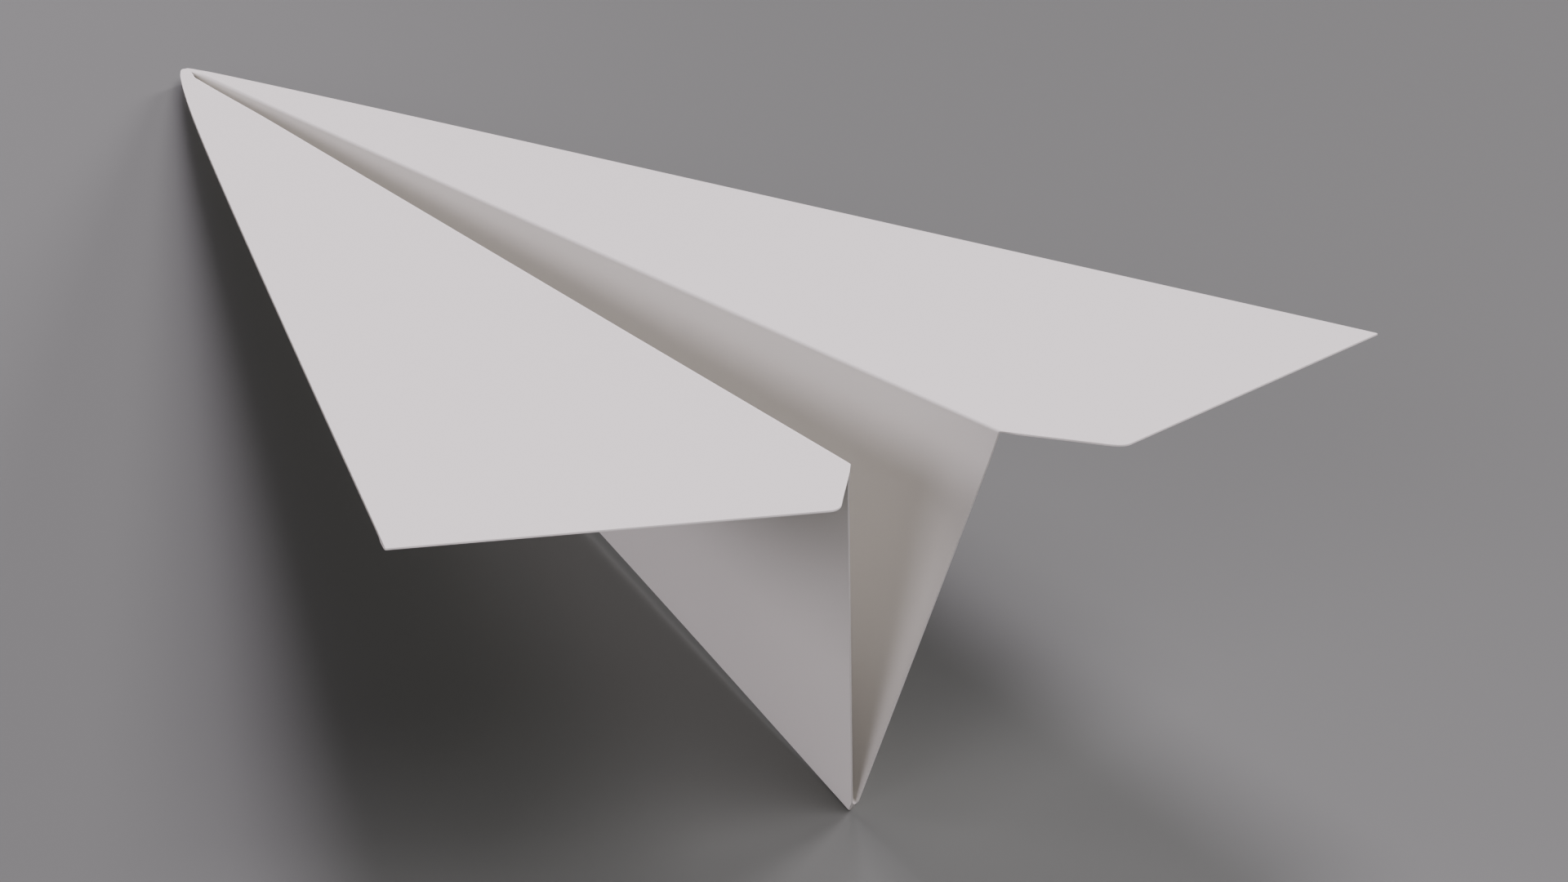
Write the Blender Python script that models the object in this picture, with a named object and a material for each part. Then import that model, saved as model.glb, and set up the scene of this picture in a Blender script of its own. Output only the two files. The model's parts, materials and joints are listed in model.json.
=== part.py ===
"""Paper dart, folded from one A4 sheet with its tail cut to a shallow swallow shape.

The sheet is split at its creases: every flat panel between two creases is one object, and every
crease or fold is a thin strip of its own. Each half of the sheet carries four layers near the nose:
the skin, the two thicknesses of the folded corner, and the flap under the leading edge.

Frame: +Y is the nose, +Z is up, the keel rests on z = 0 and the origin is under the middle of the
bounding box. A point of the half sheet is given flat, as its distance from the nose point and its
angle from the sheet's centre line; that line is the keel.
"""

import math

import bmesh
import bpy
from mathutils import Matrix, Vector

# Driving dimensions, in metres.
SHEET_HALF_WIDTH = 0.105  # A4 is 210 mm wide
PAPER = 0.00025  # thickness of the stout paper
LAYER_GAP = 0.0001  # air between two layers that lie on each other
KEEL_LENGTH = 0.2506  # nose point to the keel's lower rear corner
WALL_REAR = 0.2730  # nose point to the rear end of a wing crease
KINK = 0.2879  # nose point to the rearmost corner of a wing
NOSE_CUT = 0.0108  # the blunt nose stands this far behind the point where the edges would meet
PANEL_START = 0.018  # panels narrow to nothing ahead of this
CREASE_RADIUS = 0.00025  # half thickness of a crease's core
FOLD_WIDTH = 0.0003  # width of the strip that turns round a folded edge
CLEARANCE = 0.00015  # air between a crease or fold strip and the panels beside it
KINK_ROUNDING = 0.0016
TIP_ROUNDING = 0.0010
KEEL_CORNER_ROUNDING = 0.0020

# Driving angles, in degrees.
LEADING_EDGE = 22.5  # second fold, from the centre line
WING_CREASE = 11.8  # wing crease, from the centre line
KINK_ANGLE = 13.22  # the wing's rearmost corner, from the centre line
WALL_LEAN = 9.3  # each keel wall leans out by this from upright

# The layers of each half, counted outwards from the skin's face.
SKIN, INNER_CORNER, OUTER_CORNER, FLAP = range(4)

# What follows from them.
PITCH = PAPER + LAYER_GAP
STACK = FLAP * PITCH + PAPER
EDGE_INSET = CREASE_RADIUS + CLEARANCE
INNER_EDGE_INSET = FOLD_WIDTH + CLEARANCE
TIP = SHEET_HALF_WIDTH / math.sin(math.radians(LEADING_EDGE))
FOLD_END = TIP - 2 * TIP_ROUNDING  # the folded leading edge stops where the tip starts to round
CORNER_REACH = SHEET_HALF_WIDTH * math.sqrt(2)  # where the folded sheet's side edge meets the keel

# How finely the rounded shapes are drawn.
ROUNDING_STEPS = 5
CREASE_SIDES = 12
SMOOTH_BELOW = math.radians(40)

AXIS_MARK_SIZE = 0.02

# A colour and a roughness for each finish.
PAPER_FINISH = ((0.66, 0.64, 0.645, 1.0), 0.75)
HIDDEN_FINISH = ((0.60, 0.585, 0.585, 1.0), 0.8)
CREASE_FINISH = ((0.72, 0.71, 0.71, 1.0), 0.85)


def remove_everything():
    for found in list(bpy.data.objects):
        bpy.data.objects.remove(found, do_unlink=True)


def make_material(name, finish):
    colour, roughness = finish
    material = bpy.data.materials.new(name)
    material.use_nodes = True
    shader = material.node_tree.nodes["Principled BSDF"]
    shader.inputs["Base Color"].default_value = colour
    shader.inputs["Roughness"].default_value = roughness
    shader.inputs["Metallic"].default_value = 0.0
    return material


def flat_point(distance, angle):
    """A point of the half sheet: x from the centre line, y from the nose."""
    turn = math.radians(angle)
    return Vector((distance * math.sin(turn), distance * math.cos(turn)))


def ray_meets_slope(angle, height, slope):
    """Distance from the nose at which a ray meets the line y = height + slope * x."""
    turn = math.radians(angle)
    return height / (math.cos(turn) - slope * math.sin(turn))


def crossing(first, second):
    """The point shared by two lines, each a point and a direction in the flat sheet."""
    (p, d), (q, e) = first, second
    along = (q - p).cross(e) / d.cross(e)
    return p + d * along


def inset_outline(corners, insets):
    """A convex anticlockwise outline; the side that starts at each corner moves in by its inset."""
    lines = []
    for here, there, inset in zip(corners, corners[1:] + corners[:1], insets):
        direction = (there - here).normalized()
        inwards = Vector((-direction.y, direction.x))
        lines.append((here + inwards * inset, direction))
    return [crossing(lines[i - 1], lines[i]) for i in range(len(lines))]


def rounded_outline(outline, roundings):
    """The outline with an arc at each corner that has a radius in roundings."""
    points = []
    for i, corner in enumerate(outline):
        radius = roundings.get(i, 0.0)
        if not radius:
            points.append(corner)
            continue
        before = (outline[i - 1] - corner).normalized()
        after = (outline[(i + 1) % len(outline)] - corner).normalized()
        half = before.angle(after) / 2
        centre = corner + (before + after).normalized() * radius / math.sin(half)
        start = corner + before * radius / math.tan(half) - centre
        sweep = start.angle_signed(corner + after * radius / math.tan(half) - centre)
        for step in range(ROUNDING_STEPS + 1):
            turn = Matrix.Rotation(-sweep * step / ROUNDING_STEPS, 2)
            points.append(centre + turn @ start)
    return points


def solid_from_outline(name, outline, low, high):
    """A plate with this outline in local x and y, filling local z from low to high."""
    mesh = bpy.data.meshes.new(name)
    work = bmesh.new()
    face = work.faces.new([work.verts.new((p.x, p.y, low)) for p in outline])
    grown = bmesh.ops.extrude_face_region(work, geom=[face])
    top = [part for part in grown["geom"] if isinstance(part, bmesh.types.BMVert)]
    bmesh.ops.translate(work, verts=top, vec=(0.0, 0.0, high - low))
    bmesh.ops.recalc_face_normals(work, faces=work.faces)
    work.to_mesh(mesh)
    work.free()
    return mesh


def rod_mesh(name, start, end, radius):
    """A round rod along local y."""
    mesh = bpy.data.meshes.new(name)
    work = bmesh.new()
    middle = Matrix.Translation((0.0, (start + end) / 2, 0.0))
    bmesh.ops.create_cone(
        work,
        cap_ends=True,
        segments=CREASE_SIDES,
        radius1=radius,
        radius2=radius,
        depth=end - start,
        matrix=middle @ Matrix.Rotation(math.pi / 2, 4, "X"),
    )
    work.to_mesh(mesh)
    work.free()
    mesh.shade_smooth()
    mesh.set_sharp_from_angle(angle=SMOOTH_BELOW)
    return mesh


def add_object(name, mesh, material, parent):
    made = bpy.data.objects.new(name, mesh)
    mesh.materials.append(material)
    bpy.context.scene.collection.objects.link(made)
    made.parent = parent
    return made


def add_frame(name, x_axis, y_axis, origin, parent=None):
    """An empty whose axes and origin are these, in world coordinates."""
    empty = bpy.data.objects.new(name, None)
    empty.empty_display_size = AXIS_MARK_SIZE
    bpy.context.scene.collection.objects.link(empty)
    z_axis = x_axis.cross(y_axis)
    world = Matrix((x_axis, y_axis, z_axis)).transposed().to_4x4()
    world.translation = origin
    if parent:
        empty.parent = parent
        empty.matrix_local = parent.matrix_world.inverted() @ world
    else:
        empty.matrix_world = world
    bpy.context.view_layer.update()
    return empty


class Half:
    """One half of the sheet, on the side where x has the sign side."""

    def __init__(self, label, side, root):
        self.label = label
        self.side = side
        lean = math.radians(WALL_LEAN)
        tail = Vector((0.0, -1.0, 0.0))
        up_wall = Vector((side * math.sin(lean), 0.0, math.cos(lean)))
        crease = math.radians(WING_CREASE)
        along = up_wall * math.sin(crease) + tail * math.cos(crease)
        outward = Vector((side, 0.0, 0.0))
        outward = (outward - along * outward.dot(along)).normalized()
        down_wall = (up_wall - along * up_wall.dot(along)).normalized() * -1
        half_angle = outward.angle(down_wall) / 2
        self.setback = STACK / math.tan(half_angle)
        to_axis = (outward + down_wall).normalized() * STACK / math.sin(half_angle)
        self.keel_frame = add_frame(label + "_keel_axis", up_wall, tail, Vector(), root)
        self.wing_frame = add_frame(label + "_wing_axis", outward, along, to_axis, self.keel_frame)

    def add_plate(self, name, outline, first, last, depth_of_axis, material, frame):
        """A plate filling layers first to last, counted outwards from the skin's face."""
        low = first * PITCH - depth_of_axis
        high = last * PITCH + PAPER - depth_of_axis
        if self.side < 0:
            low, high = -high, -low
        mesh = solid_from_outline(self.label + name, outline, low, high)
        return add_object(self.label + name, mesh, material, frame)

    def keel_plate(self, name, outline, first, last, material):
        return self.add_plate(name, outline, first, last, 0.0, material, self.keel_frame)

    def wing_plate(self, name, outline, first, last, material):
        moved = [point - Vector((self.setback, 0.0)) for point in outline]
        return self.add_plate(name, moved, first, last, STACK, material, self.wing_frame)

    def keel_outline(self, rear_at_keel, rear_at_crease, keel_inset):
        """A keel panel between the centre line and the wing crease, ending at two distances."""
        front = [(PANEL_START, 0.0), (PANEL_START, WING_CREASE)]
        corners = front + [(rear_at_crease, WING_CREASE), (rear_at_keel, 0.0)]
        insets = [0.0, EDGE_INSET + self.setback, 0.0, keel_inset]
        return inset_outline([flat_point(*corner) for corner in corners], insets)

    def wing_outline(self, rear, edge_inset):
        """A wing panel between leading edge and wing crease; rear holds its corners between them."""
        corners = [(PANEL_START, WING_CREASE), (PANEL_START, LEADING_EDGE)] + rear
        insets = [0.0, edge_inset] + [0.0] * (len(rear) - 1) + [EDGE_INSET + self.setback]
        turned = [flat_point(distance, angle - WING_CREASE) for distance, angle in corners]
        return inset_outline(turned, insets)

    def add_skin(self, material):
        """The outermost face of the dart: one keel wall and one wing top."""
        wall = self.keel_outline(KEEL_LENGTH, WALL_REAR, EDGE_INSET)
        wall = rounded_outline(wall, {3: KEEL_CORNER_ROUNDING})
        self.keel_plate("_keel_wall", wall, SKIN, SKIN, material)
        rear = [(TIP, LEADING_EDGE), (KINK, KINK_ANGLE), (WALL_REAR, WING_CREASE)]
        wing = self.wing_outline(rear, INNER_EDGE_INSET)
        wing = rounded_outline(wing, {2: TIP_ROUNDING, 3: KINK_ROUNDING})
        self.wing_plate("_wing", wing, SKIN, SKIN, material)

    def add_layer(self, name, layer, height, slope, keel_inset, edge_inset, material):
        """A hidden layer whose rear edge is the flat line y = height + slope * x."""
        at_keel, at_crease, at_edge = (
            ray_meets_slope(angle, height, slope) for angle in (0.0, WING_CREASE, LEADING_EDGE)
        )
        keel = self.keel_outline(at_keel, at_crease, keel_inset)
        self.keel_plate("_keel_" + name, keel, layer, layer, material)
        wing = self.wing_outline([(at_edge, LEADING_EDGE), (at_crease, WING_CREASE)], edge_inset)
        self.wing_plate("_wing_" + name, wing, layer, layer, material)

    def add_hidden_layers(self, material):
        """What the two folds lay under the skin: the corner's two thicknesses, then the flap."""
        past_fold = INNER_EDGE_INSET + FOLD_WIDTH + CLEARANCE
        past_keel_fold = EDGE_INSET + FOLD_WIDTH + CLEARANCE
        self.add_layer(
            "inner_corner", INNER_CORNER, SHEET_HALF_WIDTH, 0.0, EDGE_INSET, past_fold, material
        )
        self.add_layer(
            "outer_corner", OUTER_CORNER, CORNER_REACH, -1.0, past_keel_fold, past_fold, material
        )
        self.add_layer("flap", FLAP, CORNER_REACH, 1.0, past_keel_fold, INNER_EDGE_INSET, material)

    def strip_outline(self, angle, start, end, inset, inwards):
        """A narrow strip beside the line at this angle; inwards is the side it lies on."""
        turn = math.radians(angle)
        across = Vector((math.cos(turn), -math.sin(turn))) * inwards
        near = [flat_point(distance, angle) + across * inset for distance in (start, end)]
        return near + [point + across * FOLD_WIDTH for point in reversed(near)]

    def add_folds(self, material):
        """The strips where the sheet turns back on itself: two in the leading edge, one at the keel."""
        edge = LEADING_EDGE - WING_CREASE
        corner_end = SHEET_HALF_WIDTH / math.cos(math.radians(LEADING_EDGE))
        outer = self.strip_outline(edge, PANEL_START, FOLD_END, 0.0, -1)
        self.wing_plate("_leading_edge_fold", outer, SKIN, FLAP, material)
        inner = self.strip_outline(edge, PANEL_START, corner_end, INNER_EDGE_INSET, -1)
        self.wing_plate("_inner_edge_fold", inner, INNER_CORNER, OUTER_CORNER, material)
        corner = self.strip_outline(0.0, PANEL_START, CORNER_REACH, EDGE_INSET, 1)
        self.keel_plate("_corner_fold", corner, OUTER_CORNER, FLAP, material)

    def add_wing_crease(self, material):
        mesh = rod_mesh(self.label + "_wing_crease", PANEL_START, WALL_REAR, CREASE_RADIUS)
        add_object(self.label + "_wing_crease", mesh, material, self.wing_frame)


def stand_on_origin(root):
    """Moves the root so that the origin lies under the middle of the bounding box."""
    bpy.context.view_layer.update()
    points = [
        made.matrix_world @ vertex.co
        for made in bpy.data.objects
        if made.type == "MESH"
        for vertex in made.data.vertices
    ]
    low = Vector([min(point[axis] for point in points) for axis in range(3)])
    high = Vector([max(point[axis] for point in points) for axis in range(3)])
    root.location = -Vector(((low.x + high.x) / 2, (low.y + high.y) / 2, low.z))


def main():
    remove_everything()
    paper = make_material("paper", PAPER_FINISH)
    hidden = make_material("hidden_paper", HIDDEN_FINISH)
    worn = make_material("crease", CREASE_FINISH)
    root = bpy.data.objects.new("paper_dart", None)
    bpy.context.scene.collection.objects.link(root)
    halves = [Half("left", -1, root), Half("right", 1, root)]
    for half in halves:
        half.add_skin(paper)
        half.add_hidden_layers(hidden)
        half.add_folds(worn)
        half.add_wing_crease(worn)
    keel = rod_mesh("keel_crease", NOSE_CUT, KEEL_LENGTH, CREASE_RADIUS)
    add_object("keel_crease", keel, worn, halves[0].keel_frame)
    stand_on_origin(root)


main()
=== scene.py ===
"""Looks of the paper dart: folded paper with real thickness, soft creases and cut edges.

The sheet's shape is one formula. A point of a half sheet is (along, across, depth): along is the
distance from the nose point down the wing crease, across is the distance from that crease, positive
on the wing and negative on the keel wall, and depth is the distance below the sheet's clean face.
Every layer is drawn from it, so the layers nest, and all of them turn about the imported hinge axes.
The keel's own pieces are drawn by (tailward, height, depth) instead: the distance behind the nose
point along the keel and the distance above it up the wall.
"""

import json
import math

import bmesh
import bpy
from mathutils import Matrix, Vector


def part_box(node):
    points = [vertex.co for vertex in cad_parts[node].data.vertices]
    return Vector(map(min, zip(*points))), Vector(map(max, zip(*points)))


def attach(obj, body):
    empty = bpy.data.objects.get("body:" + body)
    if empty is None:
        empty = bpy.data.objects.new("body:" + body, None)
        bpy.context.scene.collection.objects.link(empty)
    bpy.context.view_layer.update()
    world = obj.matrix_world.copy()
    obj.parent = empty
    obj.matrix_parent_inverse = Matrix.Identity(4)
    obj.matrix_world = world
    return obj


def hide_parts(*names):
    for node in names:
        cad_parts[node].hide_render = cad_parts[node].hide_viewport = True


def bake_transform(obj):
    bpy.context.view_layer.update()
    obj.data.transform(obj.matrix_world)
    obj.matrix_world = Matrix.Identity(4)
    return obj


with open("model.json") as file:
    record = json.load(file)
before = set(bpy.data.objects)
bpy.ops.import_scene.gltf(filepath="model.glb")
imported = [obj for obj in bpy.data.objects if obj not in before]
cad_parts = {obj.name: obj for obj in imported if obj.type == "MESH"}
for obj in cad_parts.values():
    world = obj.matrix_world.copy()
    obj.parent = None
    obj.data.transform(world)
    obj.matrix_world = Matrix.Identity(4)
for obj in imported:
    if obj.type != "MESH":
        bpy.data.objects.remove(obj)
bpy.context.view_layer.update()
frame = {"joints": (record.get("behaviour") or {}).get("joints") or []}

MM = 0.001

# Driving dimensions of the sheet and its folds, the same as the CAD model's.
PAPER = 0.25 * MM
LAYER_PITCH = 0.35 * MM  # a thickness of paper and the air below it
STACK = 1.3 * MM  # four layers
NOSE_CUT = 10.8 * MM  # the blunt nose stands this far behind the nose point
KEEL_LENGTH = 250.6 * MM  # nose point to the keel's lower rear corner
WALL_REAR = 273.0 * MM  # nose point to the rear end of a wing crease
KINK = 287.9 * MM  # nose point to the rearmost corner of a wing
SHEET_HALF_WIDTH = 105.0 * MM
WING_CREASE = math.radians(11.8)
KINK_ANGLE = math.radians(13.22)
LEADING_EDGE = math.radians(22.5)

# What follows from them.
EDGE_ANGLE = LEADING_EDGE - WING_CREASE  # between the wing crease and the leading edge
TIP = SHEET_HALF_WIDTH / math.sin(LEADING_EDGE)
CORNER_REACH = SHEET_HALF_WIDTH * math.sqrt(2.0)  # where the folded side edge meets the keel
WALL_HEIGHT = WALL_REAR * math.sin(WING_CREASE)
TAIL_CUT_SLOPE = (WALL_REAR * math.cos(WING_CREASE) - KEEL_LENGTH) / WALL_HEIGHT
NOSE_HEIGHT = NOSE_CUT * math.tan(WING_CREASE)  # the wing crease above the keel, at the nose

# The nose, where the layers are pressed together and the channel is shut.
NOSE_STACK = 0.45 * MM
STACK_GROWS = (10.5 * MM, 32.0 * MM)
CHANNEL_OPENS = (14.3 * MM, 18.8 * MM)
PULL_START = 0.3  # share of the crease's setback from which the pull inwards fades on the wing
PULL_FADE = 2.0 * MM
LEAST_WALL = 0.1 * MM  # the least height that the pull fades over on the wall
NOSE_ROUNDING = 1.5 * MM
NOSE_LEAN = 0.5 * MM
SKIN_SETBACK = 0.2 * MM
FLAP_SETBACK = 0.3 * MM

# The wing crease: a soft bend with a slight ridge beside it.
CREASE_ROUNDING = 0.5 * MM
CREASE_ROUNDING_REAR = 0.38 * MM
ROUNDING_TIGHTENS = 200.0 * MM
LEAST_ROUNDING = 0.012 * MM
BEAD = 0.25 * MM
BEAD_GROWS = (25.0 * MM, 60.0 * MM)
BEAD_REACH = 2.8 * MM
BEAD_REACH_OUT = 6.0 * MM

# The wing's outline and its leading edge.
KINK_SOFTNESS = 2.4 * MM
KINK_TRIM = 0.8 * MM
TIP_ROUNDING = 0.35 * MM
BOW_START = 20.0 * MM
BOW_LENGTH = 240.0 * MM
PINCH = 3.5 * MM  # the stack thins over this distance from the leading edge
PINCHED_FLAT = 0.3 * MM
EDGE_THICKNESS = 0.62 * MM
EDGE_THINNING = 0.1 * MM
EDGE_THINS = (100.0 * MM, 260.0 * MM)
THINNED_SHARE = 0.5  # of the stack's depth goes by the flap's rear, past the corner's layers
SLIVER = 0.01 * MM  # the least width or thickness that any part of a sheet keeps
FLAP_ANGLES = (0.0, LEADING_EDGE - 0.01)  # a hidden layer's angles stay just inside the edge
LAYER_ANGLES = (0.0, LEADING_EDGE - 0.0001)

# The corner's layers inside the wing, as shares of the stack.
CORNER_TOP = LAYER_PITCH / STACK
CORNER_BOTTOM = (2.0 * LAYER_PITCH + PAPER) / STACK
CORNER_INSET = 0.3 * MM / STACK
CORNER_PINCHED = (10.0 * MM, 60.0 * MM)
CORNER_LOW = 0.9 * MM  # above the keel
CORNER_START = 20.0 * MM

# The keel.
SEAM_ANGLE = math.radians(8.0)  # above the keel, where the wing sheets meet the trough
KEEL_RISE = 0.75 * MM
RISE_PEAK = 165.0 * MM
KEEL_CORNER_ROUNDING = 1.0 * MM
KEEL_INNER_ROUNDING = 0.25 * MM
KEEL_INNER_SHARE = 0.1  # of the wall's height to the seam, at most
KEEL_OUTER_EXCESS = 0.003 * MM  # of the crease's outer radius over the fold axis' height
FLAP_FOLD_HEIGHT = 0.75 * MM
FLAP_FOLD_RADIUS = 0.3 * MM
LEAST_FOLD_RADIUS = 0.02 * MM

# The rows of the mesh, counted down a sheet: close at the nose, and again beside the cut edge.
ROWS = 64
ROW_CROWDING = 1.8
ROW_SHARES = [(i / ROWS) ** ROW_CROWDING for i in range(ROWS + 1)]
CUT_DISTANCES = [0.6 * MM, 0.42 * MM, 0.28 * MM, 0.17 * MM, 0.08 * MM, 0.03 * MM, 0.0]
CUT_REACH = CUT_DISTANCES[0]
ROW_COUNT = ROWS + len(CUT_DISTANCES)
CUT_ROLL = 0.02 * MM
CUT_BULGE = 0.35
FOLD_STEPS = 10
RIM_STEPS = 6
MERGE_DISTANCE = 0.0001 * MM
# A row's place and its column's ends depend on each other, so they are found by repeating.
SOLVE_START = 150.0 * MM
LAYER_SOLVE_STEPS = 9
FLAP_SOLVE_STEPS = 4
TROUGH_SOLVE_STEPS = 5
SHARP_ANGLE = math.radians(32.0)

# Looks.
PAPER_COLOUR = (0.61, 0.604, 0.545)
# Painted shade: the corner layers inside the folded stack get the same paper made this much darker.
HIDDEN_SHADE = 0.98
PAPER_VARIATION = 0.02
FLOOR_COLOUR = (0.104, 0.113, 0.0985)
FLOOR_VARIATION = 0.015
FLOOR_REACH = 30.0
BACKDROP_COLOUR = (0.25, 0.25, 0.25)

# Each light's name, azimuth, elevation and width in degrees, and its strength.
STUDIO_LIGHTS = [
    ("right_low", 110.0, 22.0, 20.0, 3.90),
    ("right_high", 30.0, 60.0, 20.0, 2.12),
    ("far_high", 150.0, 60.0, 20.0, 2.18),
    ("near_high", 10.0, 48.0, 20.0, 1.28),
    ("left_fill", 240.0, 15.0, 20.0, 1.14),
    ("near_left", 300.0, 21.0, 25.0, 1.14),
    ("far_fill", 180.0, 20.0, 40.0, 0.27),
]
LIGHT_COLOUR = (1.023, 0.923, 1.06)
LIGHT_DISTANCE = 1.6  # where a light's marker stands; it shines the same from anywhere

# The camera's angles in degrees; its distance and aim in keel lengths, from the nose point.
CAMERA_AZIMUTH = -25.27
CAMERA_ELEVATION = 27.28
CAMERA_DISTANCE = 2.359
CAMERA_AIM = (0.0, -0.6, 0.12)
AIM_RIGHT = 0.139
AIM_DOWN = 0.102
LENS = 104.47
SENSOR_WIDTH = 36.0

# Places from the frame.
JOINTS = {joint["name"]: joint for joint in frame["joints"]}
KEEL_Z = JOINTS["keel_fold"]["pos_m"][2]
NOSE = Vector((0.0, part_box("keel_crease")[1].y + NOSE_CUT, KEEL_Z))
TAILWARD = Vector((0.0, -1.0, 0.0))


def clamp(value, low=0.0, high=1.0):
    return max(low, min(high, value))


def smooth(value, low, high):
    t = clamp((value - low) / (high - low))
    return t * t * (3.0 - 2.0 * t)


def soft_min(a, b, width):
    h = max(width - abs(a - b), 0.0) / width
    return min(a, b) - h * h * width / 4.0


def squarish(value):
    """Turns a circle's sine or cosine into that of a square with round corners."""
    return math.copysign(math.sqrt(abs(value)), value)


def corner_trim(distance, radius, angle):
    """What rounding a corner takes off one of its edges, at this distance from its other edge."""
    if distance >= radius * (1.0 + math.cos(angle)):
        return 0.0
    distance = max(distance, 0.0)
    arc = math.sqrt(radius**2 - (distance - radius) ** 2)
    return radius / math.tan(angle / 2.0) - arc - distance / math.tan(angle)


def spread(low, high, count):
    return [low + (high - low) * (i / count) for i in range(count)]


def direction(azimuth, elevation):
    """Towards this azimuth, 0 behind the tail and 90 to the right, and elevation, in degrees."""
    turn, rise = math.radians(azimuth), math.radians(elevation)
    return Vector((math.sin(turn) * math.cos(rise), -math.cos(turn) * math.cos(rise), math.sin(rise)))


class Half:
    """The axes and outlines of one half of the dart."""

    def __init__(self, label, side, nose_narrowing, narrowing_length, edge_bow, tip_trim):
        self.label = label
        self.side = side
        self.nose_narrowing = nose_narrowing
        self.narrowing_length = narrowing_length
        self.edge_bow = edge_bow
        self.tip_trim = tip_trim
        along = Vector(JOINTS[label + "_wing_fold"]["axis"])
        if along.y > 0:
            along = -along
        self.along = along.normalized()
        outward = Vector((side, 0.0, 0.0))
        self.outward = (outward - self.along * outward.dot(self.along)).normalized()
        self.top = self.outward.cross(self.along) * side
        if self.top.z < 0:
            self.top = -self.top
        upright = (self.along - TAILWARD * math.cos(WING_CREASE)).normalized()
        self.upright = upright
        self.down = TAILWARD * math.sin(WING_CREASE) - upright * math.cos(WING_CREASE)
        self.outer = Vector((side * upright.z, 0.0, -side * upright.x))
        self.bend = self.top.angle(-self.outer)
        self.ease = math.tan(self.bend / 2.0)
        self.sink = self.outward * self.ease - self.top

    # What follows is a function of along, the distance from the nose point down the crease.

    def stack(self, along):
        return NOSE_STACK + (STACK - NOSE_STACK) * smooth(along, *STACK_GROWS)

    def closed(self, along):
        """1 where the channel is shut, 0 where it is open."""
        return 1.0 - smooth(along, *CHANNEL_OPENS)

    def edge(self, along):
        narrowing = self.nose_narrowing * math.exp(-along / self.narrowing_length)
        bow = self.edge_bow * math.sin(math.pi * clamp((along - BOW_START) / BOW_LENGTH))
        return along * math.tan(EDGE_ANGLE) - narrowing + bow

    def edge_thickness(self, along):
        """The leading edge is pressed thinner than the stack behind it."""
        return EDGE_THICKNESS - EDGE_THINNING * smooth(along, *EDGE_THINS)

    def seam(self, along):
        return along * math.tan(WING_CREASE - SEAM_ANGLE)

    def setback(self, along):
        return self.ease * self.stack(along)

    def crease_line(self, along):
        return NOSE + self.along * along

    def place(self, along, across, depth):
        """The point in the part's frame."""
        setback = self.setback(along)
        corner = self.crease_line(along)
        shut = self.closed(along)
        if across >= setback:
            point = corner + self.outward * across - self.top * depth
        elif across <= -setback:
            point = corner - self.down * across + self.outer * depth
        else:
            point = corner + self.round_crease(along, across / setback, depth, shut)
        point -= self.outer * self.bead(along, across)
        gap = corner.x * self.side
        point.x -= self.side * gap * shut * self.pull(along, across)
        return point

    def pull(self, along, across):
        """The share of the channel's gap by which the shut nose draws this point inwards."""
        setback = self.setback(along)
        if across > PULL_START * setback:
            return 1.0 - smooth(across, PULL_START * setback, PULL_START * setback + PULL_FADE)
        if across < -setback:
            seam = self.seam(along)
            return clamp((seam + across) / max(seam - setback, LEAST_WALL))
        return 1.0

    def bead(self, along, across):
        """The crease is a slight ridge that stands into the channel, above the flat wall."""
        height = BEAD * smooth(along, *BEAD_GROWS)
        if across > 0.0:
            return height * (1.0 - smooth(across, 0.0, BEAD_REACH_OUT))
        return height * clamp(1.0 + across / BEAD_REACH) ** 2

    def round_crease(self, along, turn, depth, shut):
        """The bend between wall and wing, for turn from -1 to 1, from the crease line."""
        stack = self.stack(along)
        tighter = smooth(along, ROUNDING_TIGHTENS, WALL_REAR)
        rounding = CREASE_ROUNDING + (CREASE_ROUNDING_REAR - CREASE_ROUNDING) * tighter
        radius = rounding * (1.0 - shut) * max(0.0, 1.0 - depth / stack) + LEAST_ROUNDING
        tangent = self.ease * (depth + radius)
        flat = max(self.setback(along) - tangent, 0.0)
        arc = radius * self.bend
        walked = (turn + 1.0) / 2.0 * (2.0 * flat + arc)
        if walked < flat:
            return self.down * (tangent + flat - walked) + self.outer * depth
        if walked > flat + arc:
            return self.outward * (tangent + walked - flat - arc) - self.top * depth
        angle = (walked - flat) / radius
        spoke = self.top * math.sin(angle) - self.outer * math.sin(self.bend - angle)
        return self.sink * (depth + radius) + spoke / math.sin(self.bend) * radius

    # Outlines.

    def polar(self, along, across):
        return math.hypot(along, across), WING_CREASE + math.atan2(across, along)

    def skin_end(self, across):
        """How far the visible sheet reaches at this distance from the crease."""
        if across <= 0:
            keel_along = KEEL_LENGTH * math.cos(WING_CREASE)
            keel_across = KEEL_LENGTH * math.sin(WING_CREASE)
            return WALL_REAR + across * (WALL_REAR - keel_along) / keel_across
        kink_turn = KINK_ANGLE - WING_CREASE
        kink = KINK * Vector((math.cos(kink_turn), math.sin(kink_turn)))
        tip = TIP * Vector((math.cos(EDGE_ANGLE), math.sin(EDGE_ANGLE)))
        inner = WALL_REAR - KINK_TRIM * across / kink.y + across * (kink.x - WALL_REAR) / kink.y
        past_kink = (across - kink.y) / (tip.y - kink.y)
        trim = KINK_TRIM + (self.tip_trim - KINK_TRIM) * past_kink
        outer = kink.x + past_kink * (tip.x - kink.x) - trim
        end = soft_min(inner, outer, KINK_SOFTNESS)
        from_edge = (self.edge(tip.x - self.tip_trim) - across) * math.cos(EDGE_ANGLE)
        return end - corner_trim(from_edge, TIP_ROUNDING, tip.angle(tip - kink))

    # Where the sheet's side edge comes to lie in each hidden layer, by the angle from the keel.

    def flap_end(self, angle):
        return CORNER_REACH / (math.cos(angle) - math.sin(angle))

    def outer_corner_end(self, angle):
        return CORNER_REACH / (math.cos(angle) + math.sin(angle))

    def inner_corner_end(self, angle):
        return SHEET_HALF_WIDTH / math.cos(angle)

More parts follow.
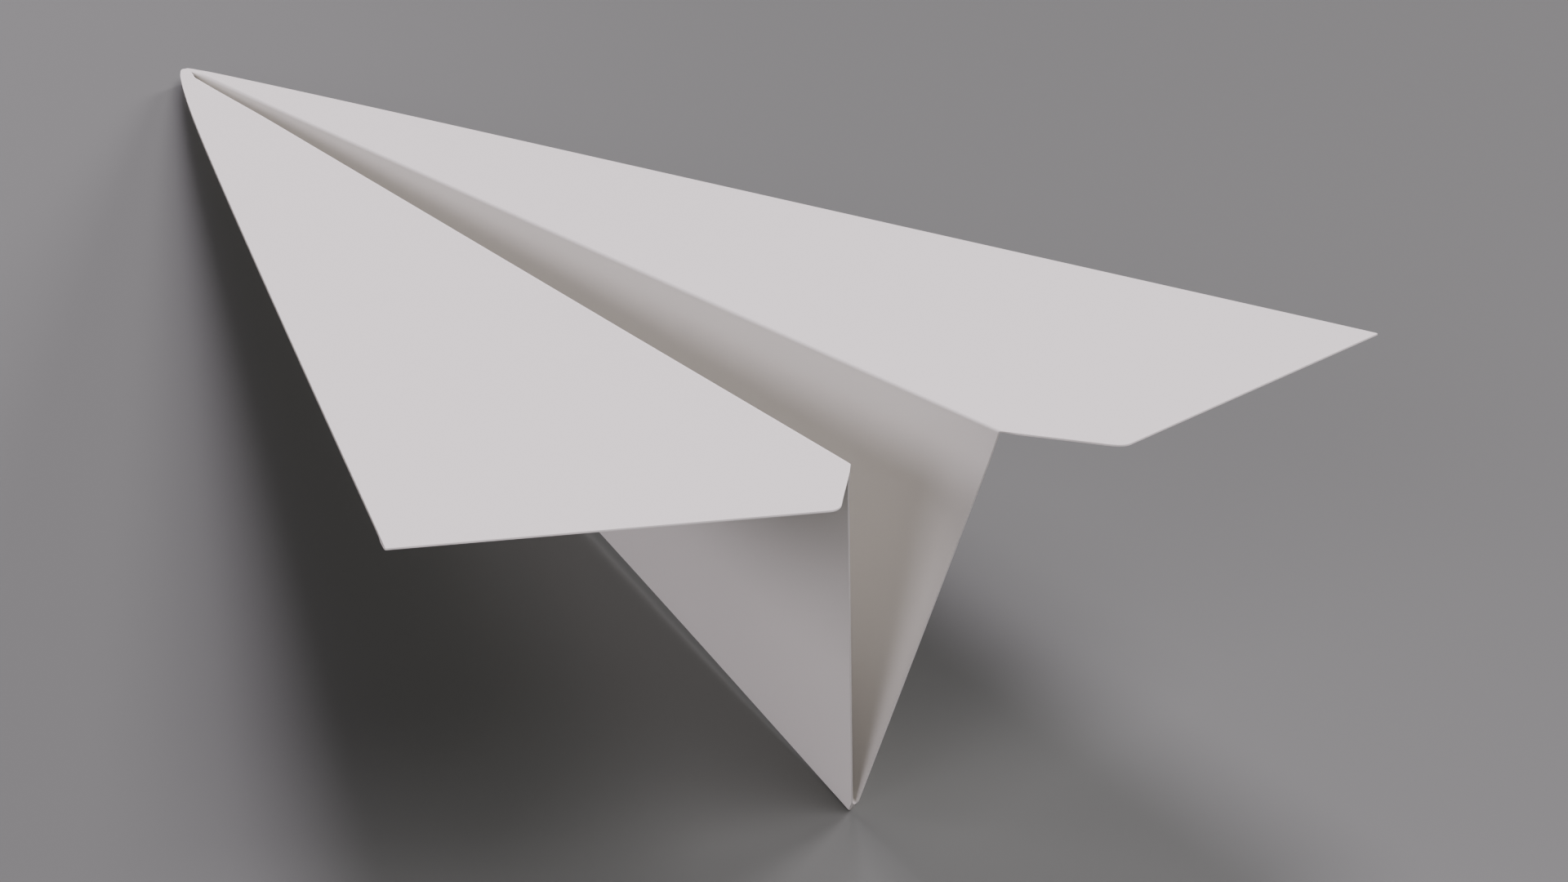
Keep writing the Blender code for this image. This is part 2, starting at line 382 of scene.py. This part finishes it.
    def flap_depth(self, along, across):
        """Depth of the flap's outer face: past the corner's layers it lies closer to the skin."""
        distance, angle = self.polar(along, across)
        angle = clamp(angle, *FLAP_ANGLES)
        start = self.outer_corner_end(angle)
        thinner = smooth(distance, start, self.flap_end(angle))
        full = self.stack(along) * (1.0 - THINNED_SHARE * thinner)
        from_edge = self.edge(along) - across
        pinched = min(self.edge_thickness(along), full)
        return pinched + (full - pinched) * smooth(from_edge, PINCHED_FLAT, PINCH)


class Layer:
    """One thickness of the sheet across a half: where its panel ends and how deep it lies."""

    def __init__(self, half, depth, rear, edge_inset, low):
        self.half = half
        self.depth = depth
        self.rear = rear
        self.edge_inset = edge_inset
        self.low = low

    def across(self, along, where):
        """where runs from -2 at the low side over the crease, from -1 to 1, to 2 at the edge."""
        setback = self.half.setback(along)
        if where < -1.0:
            return -setback + (setback - self.low(along)) * (-1.0 - where)
        if where <= 1.0:
            return where * setback
        edge = max(self.half.edge(along) - self.edge_inset(along), setback + SLIVER)
        return setback + (edge - setback) * (where - 1.0)

    def end(self, where):
        """Where the column at this station ends."""
        along = SOLVE_START
        for _ in range(LAYER_SOLVE_STEPS):
            along = self.rear(self.half, along, self.across(along, where))
        return along

    def rows(self, where, start):
        end = self.end(where)
        return [row_at(index, start, end) for index in range(ROW_COUNT)]


def skin_rear(half, along, across):
    return half.skin_end(across)


def rear_along_ray(end_of):
    """The rear edge of a hidden layer. It lies inside the bend, where the way round is shorter."""

    def rear(half, along, across):
        setback = half.setback(along)
        across -= setback * clamp(across / setback + 1.0, 0.0, 2.0)
        distance, angle = half.polar(along, across)
        angle = clamp(angle, *LAYER_ANGLES)
        return end_of(half, angle) * math.cos(angle - WING_CREASE)

    return rear


def column_stations():
    """The columns of the mesh, as Layer.across counts them. They stand closest over the crease
    and beside it, where the sheet bends, and again beside the leading edge."""
    shoulder, slope, brink = 1.08, 1.19, 1.94
    wall = spread(-2.0, -1.0, 6)
    crease = spread(-1.0, 1.0, 18)
    inboard = spread(1.0, shoulder, 4) + spread(shoulder, slope, 14) + spread(slope, brink, 14)
    outboard = [2.0 - (2.0 - brink) * (1.0 - i / 10) ** 2 for i in range(11)]
    return wall + crease + inboard + outboard


def nose_front(height):
    """How far behind the nose point the blunt nose begins; it leans back towards its top."""
    return NOSE_CUT + NOSE_LEAN * clamp(height / NOSE_HEIGHT) ** 2


def row_at(index, start, end):
    if index < ROWS:
        return start + (end - CUT_REACH - start) * ROW_SHARES[index]
    return end - CUT_DISTANCES[index - ROWS]


def cut_roll(from_cut):
    """How far a face of the sheet curls in towards the sheet's middle, beside its cut edge."""
    return CUT_ROLL * clamp(1.0 - from_cut / CUT_REACH) ** 2


def face_depth(inset, from_cut):
    """Depth of the sheet's outer face, for inset 0, or of its inner one, for inset PAPER."""
    roll = cut_roll(from_cut)
    return inset - roll if inset else roll


class Sheet:
    """Collects the outer and inner faces of one bent sheet as a closed mesh."""

    def __init__(self):
        self.points = []
        self.faces = []

    def add(self, point):
        self.points.append(tuple(point))
        return len(self.points) - 1

    def quad(self, a, b, c, d):
        if len({a, b, c, d}) == 4:
            self.faces.append((a, b, c, d))

    def grid(self, columns, flip):
        for left, right in zip(columns, columns[1:]):
            for j in range(len(left) - 1):
                ring = (left[j], left[j + 1], right[j + 1], right[j])
                self.quad(*(ring[::-1] if flip else ring))

    def outline(self, columns):
        """The vertices round a grid: its rear ends, last column, nose ends and first column."""
        loop = [column[-1] for column in columns]
        loop += list(reversed(columns[-1]))[1:]
        loop += [column[0] for column in reversed(columns)][1:]
        loop += columns[0][1:-1]
        return loop

    def rim(self, loops, cut, off_sheet):
        """Closes the sheet's edge between its two faces' outlines; the first vertices, as many as
        cut, lie on the cut rear edge, which bulges off the sheet."""
        outer, inner = loops
        count = len(outer)
        lines = [outer]
        for step in range(1, RIM_STEPS):
            angle = math.pi * step / RIM_STEPS
            line = []
            for k in range(count):
                middle = (Vector(self.points[outer[k]]) + Vector(self.points[inner[k]])) / 2.0
                radius = Vector(self.points[outer[k]]) - middle
                point = middle + radius * squarish(math.cos(angle))
                if k < cut:
                    bulge = CUT_BULGE * min(radius.length, PAPER / 2.0)
                    point += off_sheet * bulge * squarish(math.sin(angle))
                line.append(self.add(point))
            lines.append(line)
        lines.append(inner)
        for first, second in zip(lines, lines[1:]):
            for k in range(count):
                n = (k + 1) % count
                self.quad(first[k], first[n], second[n], second[k])

    def make(self, name, material):
        mesh = bpy.data.meshes.new(name)
        mesh.from_pydata(self.points, [], self.faces)
        mesh.validate()
        mesh.update()
        work = bmesh.new()
        work.from_mesh(mesh)
        bmesh.ops.remove_doubles(work, verts=work.verts, dist=MERGE_DISTANCE)
        bmesh.ops.dissolve_degenerate(work, edges=work.edges, dist=MERGE_DISTANCE)
        bmesh.ops.recalc_face_normals(work, faces=work.faces)
        work.to_mesh(mesh)
        work.free()
        made = bpy.data.objects.new(name, mesh)
        bpy.context.scene.collection.objects.link(made)
        mesh.materials.append(material)
        mesh.shade_smooth()
        mesh.set_sharp_from_angle(angle=SHARP_ANGLE)
        return made


def fold_rings(sheet, half, pairs):
    """Half circles from the top to the bottom of each pair, which turn the sheet back on itself."""
    rings = []
    last = len(pairs) - 1
    for k, (top, bottom, top_id, bottom_id) in enumerate(pairs):
        run = (pairs[min(k + 1, last)][0] - pairs[max(k - 1, 0)][0]).normalized()
        middle = (top + bottom) / 2.0
        radius = (top - bottom) / 2.0
        out = run.cross(radius.normalized()) * half.side
        ring = [top_id]
        for step in range(1, FOLD_STEPS):
            angle = math.pi * step / FOLD_STEPS
            turned = radius * math.cos(angle) + out * radius.length * math.sin(angle)
            ring.append(sheet.add(middle + turned))
        rings.append(ring + [bottom_id])
    return rings


def pocket(half, name, top_layer, bottom_layer, material, nose_start):
    """A sheet that lies along the top layer, turns round the leading edge and comes back along
    the bottom layer; at the nose the two are joined as well."""
    sheet = Sheet()
    stations = column_stations()
    starts = [
        nose_start + NOSE_ROUNDING * (1.0 - math.sqrt(1.0 - clamp(where - 1.0) ** 2))
        for where in stations
    ]

    def point(layer, inset, where, along, end):
        across = layer.across(along, where)
        top = top_layer.depth(along, across)
        bottom = bottom_layer.depth(along, across)
        middle = (top + bottom) / 2.0
        below = face_depth(inset, end - along)
        if layer is top_layer:
            depth = min(top + below, middle - SLIVER)
        else:
            depth = max(bottom - below, middle + SLIVER)
        return half.place(along, across, depth)

    def face(layer, inset):
        columns = []
        for where, start in zip(stations, starts):
            rows = layer.rows(where, start)
            columns.append([point(layer, inset, where, along, rows[-1]) for along in rows])
        return columns

    loops = []
    for inset, flip in ((0.0, False), (PAPER, True)):
        top, bottom = face(top_layer, inset), face(bottom_layer, inset)
        top_ids = [[sheet.add(p) for p in column] for column in top]
        bottom_ids = [[sheet.add(p) for p in column] for column in bottom]
        nose_pairs = [
            (top[i][0], bottom[i][0], top_ids[i][0], bottom_ids[i][0]) for i in range(len(top))
        ]
        edge_pairs = list(zip(top[-1], bottom[-1], top_ids[-1], bottom_ids[-1]))[1:]
        rings = fold_rings(sheet, half, nose_pairs + edge_pairs)
        sheet.grid(top_ids, flip)
        sheet.grid(bottom_ids, not flip)
        sheet.grid(rings, flip)
        loop = [column[-1] for column in top_ids]
        loop += rings[-1][1:]
        loop += [column[-1] for column in reversed(bottom_ids)][1:]
        loop += list(reversed(bottom_ids[0]))[1:]
        loop += list(reversed(rings[0]))[1:]
        loop += top_ids[0][1:-1]
        loops.append(loop)
    cut = 2 * len(stations) + FOLD_STEPS - 1
    sheet.rim(loops, cut, half.along)
    return sheet.make(name, material)


def keel_rise(tailward, height):
    """The keel bows up a little between the nose and its tail, where it touches the table."""
    if tailward > RISE_PEAK:
        share = clamp((KEEL_LENGTH - tailward) / (KEEL_LENGTH - RISE_PEAK))
    else:
        share = tailward / RISE_PEAK
    fade = 1.0 - smooth(height, 0.0, tailward * math.tan(SEAM_ANGLE))
    return Vector((0.0, 0.0, KEEL_RISE * math.sin(math.pi / 2.0 * share) * fade))


def wall_point(half, tailward, height, depth):
    flat = NOSE + TAILWARD * tailward + half.upright * height + half.outer * depth
    return flat + keel_rise(tailward, height)


def keel_flap(half, name, material):
    """The flap's part beside the keel, with the fold that turns it back under itself."""
    sheet = Sheet()
    wall_steps = 12

    def depth_at(tailward, height):
        distance = math.hypot(tailward, height)
        turn = math.atan2(height, tailward)
        across = -distance * math.sin(WING_CREASE - turn)
        along = distance * math.cos(WING_CREASE - turn)
        return half.flap_depth(along, across)

    def wall_column(share, inset):
        column = []
        for index in range(ROW_COUNT):
            tailward = NOSE_CUT
            for _ in range(FLAP_SOLVE_STEPS):
                seam = tailward * math.tan(SEAM_ANGLE)
                height = FLAP_FOLD_HEIGHT + (seam - FLAP_FOLD_HEIGHT) * share
                end = CORNER_REACH + height
                tailward = row_at(index, nose_front(height) + FLAP_SETBACK, end)
            depth = depth_at(tailward, height) - face_depth(inset, end - tailward)
            column.append(sheet.add(wall_point(half, tailward, height, depth)))
        return column

    def fold_column(step, inset):
        angle = math.pi * step / FOLD_STEPS
        start = nose_front(FLAP_FOLD_HEIGHT) + FLAP_SETBACK
        end = CORNER_REACH + FLAP_FOLD_HEIGHT
        column = []
        for index in range(ROW_COUNT):
            tailward = row_at(index, start, end)
            outer = depth_at(tailward, FLAP_FOLD_HEIGHT)
            radius = min(FLAP_FOLD_RADIUS, outer / 4.0)
            turning = max(radius - face_depth(inset, end - tailward), LEAST_FOLD_RADIUS)
            height = FLAP_FOLD_HEIGHT - turning * math.sin(angle)
            depth = outer - radius + turning * math.cos(angle)
            column.append(sheet.add(wall_point(half, tailward, height, depth)))
        return column

    loops = []
    for inset, flip in ((0.0, False), (PAPER, True)):
        columns = [wall_column(1.0 - i / wall_steps, inset) for i in range(wall_steps + 1)]
        columns += [fold_column(step, inset) for step in range(1, FOLD_STEPS + 1)]
        sheet.grid(columns, flip)
        loops.append(sheet.outline(columns))
    sheet.rim(loops, wall_steps + 1 + FOLD_STEPS, TAILWARD)
    return sheet.make(name, material)


def trough(name, material):
    """Both walls below the seams, joined by the keel crease."""
    sheet = Sheet()
    left, right = HALVES
    lean = math.atan2(abs(right.upright.x), right.upright.z)
    tail_angle = math.pi / 2.0 + math.atan(TAIL_CUT_SLOPE)
    arc_steps = 6
    # Heights of the wall's columns, top down. The first are shares of the way up from wall_start
    # to the seam. It and the rest are multiples of the height where wall and rounding touch.
    shares = [1.0, 0.85, 0.7, 0.55, 0.4, 0.25, 0.12, 0.0]
    wall_start = 1.4
    touch_shares = [1.25, 1.12, 1.03]
    wall_columns = len(shares) + len(touch_shares)

    def inner_rounding(tailward):
        return min(KEEL_INNER_ROUNDING, KEEL_INNER_SHARE * tailward * math.tan(SEAM_ANGLE))

    def keel_end(height):
        trim = corner_trim(height, KEEL_CORNER_ROUNDING, tail_angle)
        return KEEL_LENGTH + TAIL_CUT_SLOPE * height - trim

    def wall_height(tailward, index):
        touch = inner_rounding(tailward) / math.tan(lean)
        if index >= len(shares):
            return touch * touch_shares[index - len(shares)]
        low = wall_start * touch
        return low + (tailward * math.tan(SEAM_ANGLE) - low) * shares[index]

    def bottom_point(tailward, step, outside, roll):
        """Sideways and up, round the inside or the outside of the keel crease."""
        angle = (math.pi / 2.0 - lean) * step / arc_steps
        if outside:
            radius, centre = KEEL_Z + KEEL_OUTER_EXCESS - roll, 0.0
        else:
            radius = inner_rounding(tailward)
            centre = radius / math.sin(lean) - roll
        return radius * math.sin(angle), centre - radius * math.cos(angle)

    def wall_column(half, index, outside):
        column = []
        for row in range(ROW_COUNT):
            tailward = NOSE_CUT
            for _ in range(TROUGH_SOLVE_STEPS):
                height = wall_height(tailward, index)
                end = keel_end(height)
                tailward = row_at(row, nose_front(height) + SKIN_SETBACK, end)
            depth = face_depth(PAPER if outside else 0.0, end - tailward)
            height = wall_height(tailward, index)
            column.append(sheet.add(wall_point(half, tailward, height, depth)))
        return column

    def bottom_column(step, outside):
        column = []
        for row in range(ROW_COUNT):
            tailward = NOSE_CUT
            for _ in range(TROUGH_SOLVE_STEPS):
                up = max(bottom_point(tailward, step, outside, 0.0)[1], 0.0)
                end = keel_end(up)
                tailward = row_at(row, NOSE_CUT + SKIN_SETBACK, end)
            sideways, up = bottom_point(tailward, step, outside, cut_roll(end - tailward))
            flat = NOSE + TAILWARD * tailward + Vector((sideways, 0.0, up))
            column.append(sheet.add(flat + keel_rise(tailward, max(up, 0.0))))
        return column

    loops = []
    for outside in (False, True):
        columns = [wall_column(left, index, outside) for index in range(wall_columns)]
        columns += [bottom_column(step, outside) for step in range(-arc_steps, arc_steps + 1)]
        columns += [wall_column(right, index, outside) for index in reversed(range(wall_columns))]
        sheet.grid(columns, outside)
        loops.append(sheet.outline(columns))
    sheet.rim(loops, 2 * wall_columns + 2 * arc_steps + 1, TAILWARD)
    return sheet.make(name, material)


# Materials.


class Nodes:
    """Short names for building a material's node tree."""

    def __init__(self, name):
        self.material = bpy.data.materials.new(name)
        self.material.use_nodes = True
        self.tree = self.material.node_tree
        self.shader = self.tree.nodes["Principled BSDF"]
        self.place = self.add("ShaderNodeTexCoord").outputs["Object"]

    def add(self, kind, **settings):
        node = self.tree.nodes.new(kind)
        for key, value in settings.items():
            if key in node.inputs:
                node.inputs[key].default_value = value
            else:
                setattr(node, key, value)
        return node

    def link(self, output, socket):
        self.tree.links.new(output, socket)

    def noise(self, place, scale, detail, roughness):
        node = self.add("ShaderNodeTexNoise", Scale=scale, Detail=detail, Roughness=roughness)
        self.link(place, node.inputs["Vector"])
        return node.outputs["Fac"]

    def stretched(self, scale):
        node = self.add("ShaderNodeMapping", Scale=scale)
        self.link(self.place, node.inputs["Vector"])
        return node.outputs[0]

    def weighted(self, first, share, second):
        """The mean of two outputs, with this share of the first."""
        parts = []
        for output, weight in ((first, share), (second, 1.0 - share)):
            part = self.add("ShaderNodeMath", operation="MULTIPLY")
            self.link(output, part.inputs[0])
            part.inputs[1].default_value = weight
            parts.append(part.outputs[0])
        total = self.add("ShaderNodeMath", operation="ADD")
        for output, socket in zip(parts, total.inputs):
            self.link(output, socket)
        return total.outputs[0]

    def colour(self, tone, colour, variation):
        """The shader's colour, a little darker or lighter with the tone."""
        mix = self.add("ShaderNodeMix", data_type="RGBA", blend_type="MIX")
        factor, dark, light = mix.inputs[0], mix.inputs[6], mix.inputs[7]
        self.link(tone, factor)
        dark.default_value = (*(c * (1.0 - variation) for c in colour), 1.0)
        light.default_value = (*(c * (1.0 + variation) for c in colour), 1.0)
        self.link(mix.outputs[2], self.shader.inputs["Base Color"])

    def gloss(self, roughness, specular):
        self.shader.inputs["Roughness"].default_value = roughness
        self.shader.inputs["Specular IOR Level"].default_value = specular

    def bump(self, height, strength, distance):
        node = self.add("ShaderNodeBump", Strength=strength, Distance=distance)
        self.link(height, node.inputs["Height"])
        self.link(node.outputs[0], self.shader.inputs["Normal"])


def paper_material(name, colour):
    """Matt paper: soft clouds and fibres in its colour, fibres and a fine grain in its surface."""
    nodes = Nodes(name)
    along_fibres = nodes.stretched((500.0, 2600.0, 2600.0))
    clouds = nodes.noise(nodes.place, scale=55.0, detail=3.0, roughness=0.55)
    fibres = nodes.noise(along_fibres, scale=1.0, detail=4.0, roughness=0.6)
    grain = nodes.noise(nodes.place, scale=5200.0, detail=2.0, roughness=0.5)
    nodes.colour(nodes.weighted(clouds, 0.55, fibres), colour, PAPER_VARIATION)
    nodes.gloss(roughness=0.85, specular=0.25)
    nodes.bump(nodes.weighted(fibres, 0.6, grain), strength=0.25, distance=0.06 * MM)
    return nodes.material


def floor_material():
    """A plain grey floor with a faint, blurred gloss."""
    nodes = Nodes("floor")
    clouds = nodes.noise(nodes.place, scale=3.0, detail=2.0, roughness=0.5)
    nodes.colour(clouds, FLOOR_COLOUR, FLOOR_VARIATION)
    nodes.gloss(roughness=0.38, specular=0.5)
    return nodes.material


# Pieces.

HALVES = [
    Half(
        "left", -1, nose_narrowing=2.3 * MM, narrowing_length=20.0 * MM,
        edge_bow=0.17 * MM, tip_trim=0.6 * MM,
    ),
    Half(
        "right", 1, nose_narrowing=1.75 * MM, narrowing_length=50.0 * MM,
        edge_bow=-0.25 * MM, tip_trim=0.0,
    ),
]


def no_depth(along, across):
    return 0.0


def make_trough(material):
    piece = trough("keel_trough", material)
    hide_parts("keel_crease", "left_keel_wall", "right_keel_wall")
    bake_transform(piece)


def make_wing(half, material):
    """The wing's top, leading edge, flap and crease, down to the seam on the keel wall."""
    label = half.label

    def fold_radius(along):
        return min(half.edge_thickness(along), half.stack(along)) / 2.0

    top = Layer(half, no_depth, skin_rear, fold_radius, half.seam)
    bottom = Layer(half, half.flap_depth, rear_along_ray(Half.flap_end), fold_radius, half.seam)
    start = nose_front(NOSE_HEIGHT) + SKIN_SETBACK
    piece = pocket(half, label + "_wing_sheet", top, bottom, material, start)
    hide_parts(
        label + "_wing", label + "_wing_flap", label + "_leading_edge_fold", label + "_wing_crease"
    )
    return piece


def make_corner(half, material):
    """The folded corner's two layers, inside the wing and beside the keel."""
    label = half.label

    def top_depth(along, across):
        return half.stack(along) * CORNER_TOP

    def bottom_depth(along, across):
        return half.stack(along) * CORNER_BOTTOM

    def inset(along):
        return half.stack(along) * CORNER_INSET + PINCH * smooth(along, *CORNER_PINCHED)

    def low(along):
        return along * math.tan(WING_CREASE) - CORNER_LOW

    inner = Layer(half, top_depth, rear_along_ray(Half.inner_corner_end), inset, low)
    outer = Layer(half, bottom_depth, rear_along_ray(Half.outer_corner_end), inset, low)
    piece = pocket(half, label + "_corner_layers", inner, outer, material, CORNER_START)
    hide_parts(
        label + "_wing_inner_corner", label + "_wing_outer_corner",
        label + "_inner_edge_fold", label + "_keel_inner_corner", label + "_keel_outer_corner",
    )
    return piece


def make_flap(half, material):
    label = half.label
    piece = keel_flap(half, label + "_keel_flap_sheet", material)
    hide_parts(label + "_keel_flap", label + "_corner_fold")
    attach(piece, label + "_keel_side")


def make_half(half, face, hidden):
    # The corner's layers take the paper darkened by painted shade.
    bent = [make_wing(half, face), make_corner(half, hidden)]
    make_flap(half, face)
    for piece in bent:
        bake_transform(piece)


# Stage, lights and camera.


def add_floor():
    reach = FLOOR_REACH
    mesh = bpy.data.meshes.new("floor")
    corners = [(-reach, -reach, 0.0), (reach, -reach, 0.0), (reach, reach, 0.0), (-reach, reach, 0.0)]
    mesh.from_pydata(corners, [], [(0, 1, 2, 3)])
    floor = bpy.data.objects.new("floor", mesh)
    bpy.context.scene.collection.objects.link(floor)
    mesh.materials.append(floor_material())


def add_backdrop():
    """A plain grey beyond the floor, which is seen but lights nothing."""
    world = bpy.data.worlds.new("studio")
    world.use_nodes = True
    background = world.node_tree.nodes["Background"]
    background.inputs["Color"].default_value = (*BACKDROP_COLOUR, 1.0)
    bpy.context.scene.world = world
    world.cycles_visibility.diffuse = False
    world.cycles_visibility.glossy = False


def add_light(name, azimuth, elevation, width, strength):
    """A far, wide lamp that shines on the dart from this direction."""
    data = bpy.data.lights.new(name, "SUN")
    data.angle = math.radians(width)
    data.energy = strength
    data.color = LIGHT_COLOUR
    light = bpy.data.objects.new(name, data)
    bpy.context.scene.collection.objects.link(light)
    back = direction(azimuth, elevation)
    light.location = back * LIGHT_DISTANCE
    light.rotation_mode = "QUATERNION"
    light.rotation_quaternion = back.to_track_quat("Z", "Y")


def add_camera():
    """Seen from behind, above and to the left of the tail."""
    back = direction(CAMERA_AZIMUTH, CAMERA_ELEVATION)
    right = direction(CAMERA_AZIMUTH + 90.0, 0.0)
    up = back.cross(right)
    aim = Vector(CAMERA_AIM) + right * AIM_RIGHT - up * AIM_DOWN
    data = bpy.data.cameras.new("camera")
    data.sensor_width = SENSOR_WIDTH
    data.lens = LENS
    data.clip_start = 0.01
    data.clip_end = 50.0
    camera = bpy.data.objects.new("camera", data)
    bpy.context.scene.collection.objects.link(camera)
    camera.location = NOSE + (aim + back * CAMERA_DISTANCE) * KEEL_LENGTH
    camera.rotation_mode = "QUATERNION"
    camera.rotation_quaternion = back.to_track_quat("Z", "Y")
    bpy.context.scene.camera = camera


skin_paper = paper_material("paper", PAPER_COLOUR)
# The same paper with painted shade, darker for the layers tucked inside the stack.
hidden_paper = paper_material("hidden_paper", tuple(c * HIDDEN_SHADE for c in PAPER_COLOUR))
make_trough(skin_paper)
for side_half in HALVES:
    make_half(side_half, skin_paper, hidden_paper)
add_floor()
add_backdrop()
for studio_light in STUDIO_LIGHTS:
    add_light(*studio_light)
add_camera()
